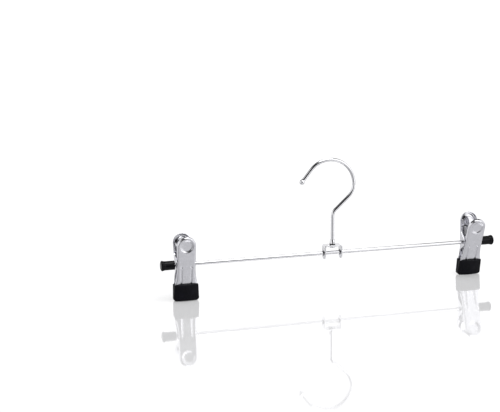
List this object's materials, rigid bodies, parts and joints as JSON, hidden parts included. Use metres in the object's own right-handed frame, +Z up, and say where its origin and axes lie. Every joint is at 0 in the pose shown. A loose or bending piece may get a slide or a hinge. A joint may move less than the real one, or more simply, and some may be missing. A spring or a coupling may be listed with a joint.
{
  "type": "skirt hanger",
  "caption": "Skirt hanger: a straight round bar with sliding spring clips in soft jaw covers, under a swivel hook.",
  "frame": {"origin": "where the swivel axis meets the inside of the hook's crown, on the closet rod's top", "axes": "+X along the bar to the right, -Y to the front, +Z up along the swivel axis"},
  "size_m": [0.308, 0.0291, 0.1163],
  "materials": {
    "chrome_wire": "polished",
    "chrome_sheet": "bright",
    "spring_steel": "drawn",
    "black_rubber": "satin"
  },
  "bodies": {
    "hook": {"hook_wire": "chrome_wire", "swivel_collar": "chrome_wire"},
    "frame": {"bracket": "chrome_sheet", "bar": "chrome_wire", "left_end_cap": "black_rubber", "right_end_cap": "black_rubber"},
    "left_spring": {"left_spring": "spring_steel"},
    "left_rear_jaw": {"left_rear_plate": "chrome_sheet", "left_rear_cover": "black_rubber"},
    "left_front_jaw": {"left_front_plate": "chrome_sheet", "left_front_cover": "black_rubber"},
    "right_spring": {"right_spring": "spring_steel"},
    "right_rear_jaw": {"right_rear_plate": "chrome_sheet", "right_rear_cover": "black_rubber"},
    "right_front_jaw": {"right_front_plate": "chrome_sheet", "right_front_cover": "black_rubber"}
  },
  "joints": [
    {"name": "hook_swivel", "type": "hinge", "parent": "hook", "child": "frame", "pos_m": [0, 0, -0.0813], "axis": [0, 0, 1], "continuous": true},
    {"name": "left_clip_slide", "type": "slide", "parent": "frame", "child": "left_spring", "axis": [1, 0, 0], "range_m": [-0.001, 0.116]},
    {"name": "left_clip_tilt", "type": "hinge", "parent": "left_spring", "child": "left_rear_jaw", "pos_m": [-0.1328, 0, -0.0813], "axis": [1, 0, 0], "continuous": true, "deforming": ["left_spring"]},
    {"name": "left_clip_open", "type": "hinge", "parent": "left_rear_jaw", "child": "left_front_jaw", "pos_m": [-0.1328, 0, -0.0813], "axis": [-1, 0, 0], "range_deg": [0, 37], "stiffness_Nm_per_rad": 0.25, "springref_deg": -20.05, "deforming": ["left_spring"]},
    {"name": "right_clip_slide", "type": "slide", "parent": "frame", "child": "right_spring", "axis": [-1, 0, 0], "range_m": [-0.001, 0.116]},
    {"name": "right_clip_tilt", "type": "hinge", "parent": "right_spring", "child": "right_rear_jaw", "pos_m": [0.1328, 0, -0.0813], "axis": [1, 0, 0], "continuous": true, "deforming": ["right_spring"]},
    {"name": "right_clip_open", "type": "hinge", "parent": "right_rear_jaw", "child": "right_front_jaw", "pos_m": [0.1328, 0, -0.0813], "axis": [-1, 0, 0], "range_deg": [0, 37], "stiffness_Nm_per_rad": 0.25, "springref_deg": -20.05, "deforming": ["right_spring"]}
  ]
}
